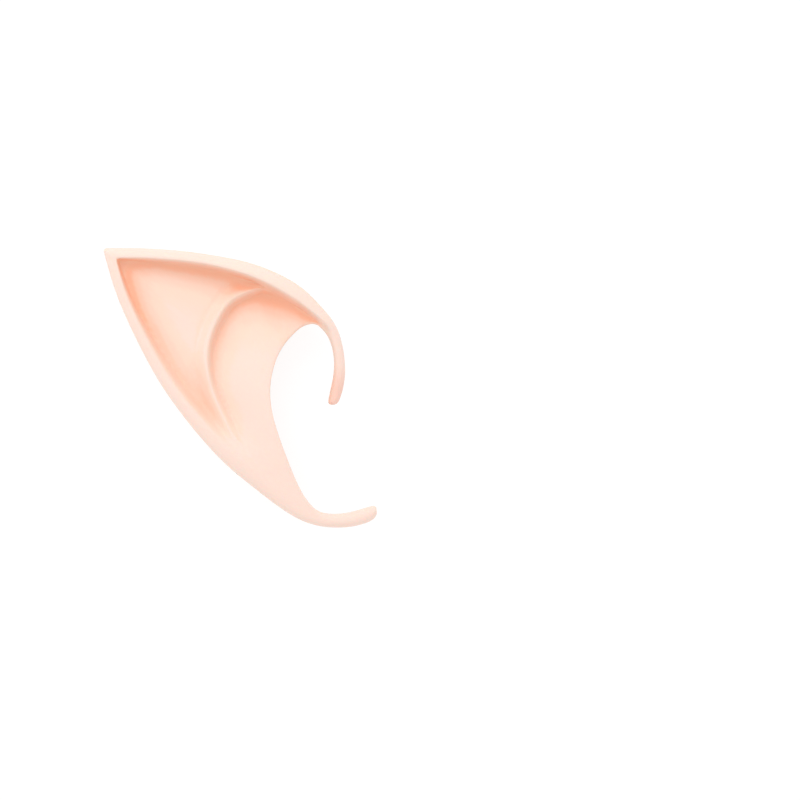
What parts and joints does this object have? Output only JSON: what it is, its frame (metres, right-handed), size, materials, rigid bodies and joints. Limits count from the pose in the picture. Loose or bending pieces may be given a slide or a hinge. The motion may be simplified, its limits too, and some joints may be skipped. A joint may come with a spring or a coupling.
{
  "type": "elf ear tip",
  "caption": "Pointed slip-on ear tip of soft cast latex, with a rolled rim, a curved inner fold and a pocket for the wearer's own ear.",
  "frame": {"origin": "on the surface that the ear lies on, below the middle of its outline", "axes": "+Z out of the carved face, +Y up the ear, +X from the point of the ear towards the wearer's face"},
  "size_m": [0.0818, 0.0838, 0.018],
  "materials": {
    "latex": "soft matte, pale peach, cast latex"
  },
  "bodies": {
    "root": {"ear_tip": "latex"}
  },
  "joints": []
}
